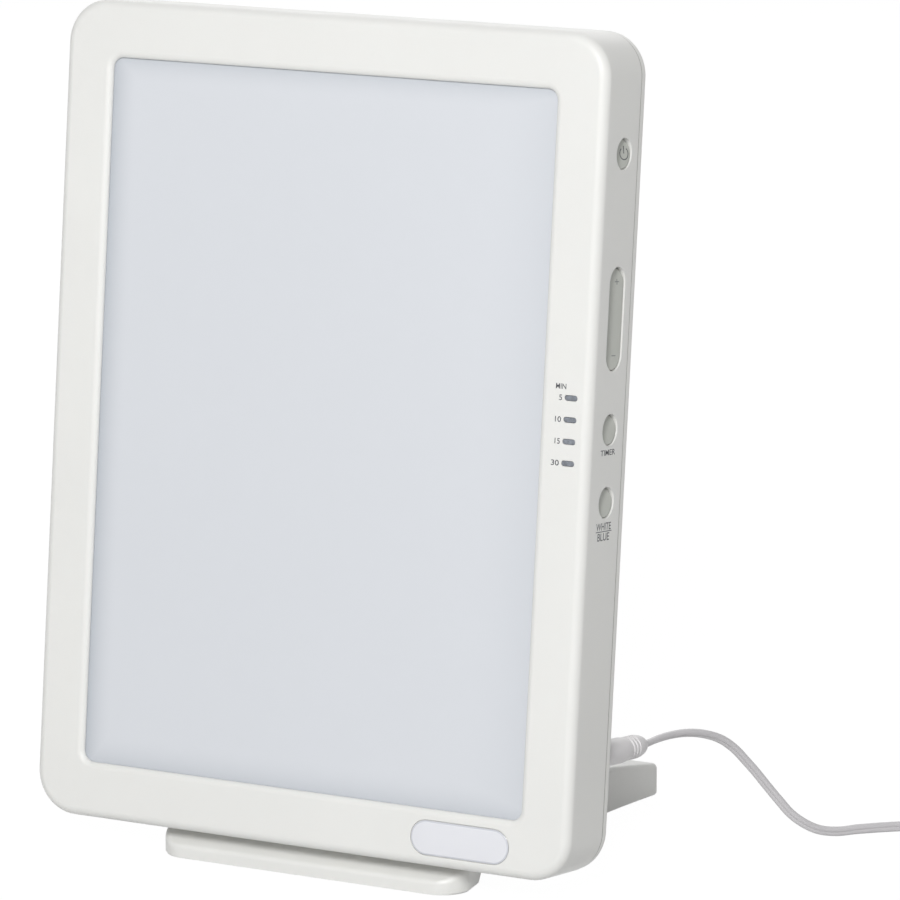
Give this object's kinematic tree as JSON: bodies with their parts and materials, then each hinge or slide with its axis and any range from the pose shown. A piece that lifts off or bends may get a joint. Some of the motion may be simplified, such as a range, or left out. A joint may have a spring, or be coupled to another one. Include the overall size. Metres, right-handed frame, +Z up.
{
  "type": "light therapy lamp",
  "caption": "Flat rectangular light therapy lamp leaning back on an arched moulded stand, with push buttons and a rocker on its side, minute indicators and a plug-in lead to a wall adapter.",
  "frame": {"origin": "on the table, under the middle of the lamp without its lead", "axes": "+X to the right as seen from the front, +Y from the lit face to the back, +Z up"},
  "size_m": [0.4024, 0.2012, 0.3419],
  "materials": {
    "housing_white": "fine satin moulded plastic",
    "stand_white": "smooth moulded plastic",
    "opal": "smooth opal sheet",
    "control_grey": "satin moulded plastic",
    "lens_smoke": "smooth tinted plastic",
    "badge_clear": "clear domed resin",
    "tray_white": "matt white reflector",
    "circuit_board": "solder mask",
    "black_plastic": "satin moulded plastic",
    "steel": "plain",
    "nickel": "nickel plated",
    "lead_vinyl": "soft vinyl",
    "pad_rubber": "matt",
    "brass": "plain"
  },
  "bodies": {
    "stand": {"stand_base": "stand_white", "foot_pad_front_left": "pad_rubber", "foot_pad_front_right": "pad_rubber", "foot_pad_rear_left": "pad_rubber", "foot_pad_rear_right": "pad_rubber", "cord_lead": "lead_vinyl", "cord_coil": "lead_vinyl", "coil_tie": "black_plastic", "adapter_relief": "black_plastic", "wall_adapter": "black_plastic", "adapter_blade_left": "brass", "adapter_blade_right": "brass"},
    "panel": {"back_cover": "housing_white", "badge_blank": "badge_clear", "brighter_switch": "black_plastic", "colour_switch": "black_plastic", "control_board": "circuit_board", "control_lead": "black_plastic", "cover_screw_1": "steel", "cover_screw_2": "steel", "cover_screw_3": "steel", "cover_screw_4": "steel", "cover_screw_5": "steel", "cover_screw_6": "steel", "dc_jack": "black_plastic", "diffuser_panel": "opal", "dimmer_switch": "black_plastic", "driver_board": "circuit_board", "front_housing": "housing_white", "indicator_board": "circuit_board", "indicator_lens_10": "lens_smoke", "indicator_lens_15": "lens_smoke", "indicator_lens_30": "lens_smoke", "indicator_lens_5": "lens_smoke", "jack_lead": "black_plastic", "led_strip_1": "circuit_board", "led_strip_2": "circuit_board", "led_strip_3": "circuit_board", "led_strip_4": "circuit_board", "plug_barrel": "nickel", "plug_body": "lead_vinyl", "power_switch": "black_plastic", "reflector_tray": "tray_white", "rocker_pin": "steel", "timer_switch": "black_plastic"},
    "power_button": {"power_button": "control_grey"},
    "timer_button": {"timer_button": "control_grey"},
    "colour_button": {"colour_button": "control_grey"},
    "rocker": {"brightness_rocker": "control_grey"}
  },
  "joints": [
    {"name": "panel_lift", "type": "slide", "parent": "stand", "child": "panel", "axis": [0, 0.1009, 0.9949], "range_m": [0, 0.065]},
    {"name": "power_press", "type": "slide", "parent": "panel", "child": "power_button", "axis": [-1, 0, 0], "range_m": [0, 0.0007], "stiffness_N_per_m": 400},
    {"name": "timer_press", "type": "slide", "parent": "panel", "child": "timer_button", "axis": [-1, 0, 0], "range_m": [0, 0.0007], "stiffness_N_per_m": 400},
    {"name": "colour_press", "type": "slide", "parent": "panel", "child": "colour_button", "axis": [-1, 0, 0], "range_m": [0, 0.0007], "stiffness_N_per_m": 400},
    {"name": "rocker_tilt", "type": "hinge", "parent": "panel", "child": "rocker", "pos_m": [0.1167, -0.05761, 0.23092], "axis": [0, 0.9949, -0.1009], "range_deg": [-2.2, 2.2], "stiffness_Nm_per_rad": 0.2}
  ]
}
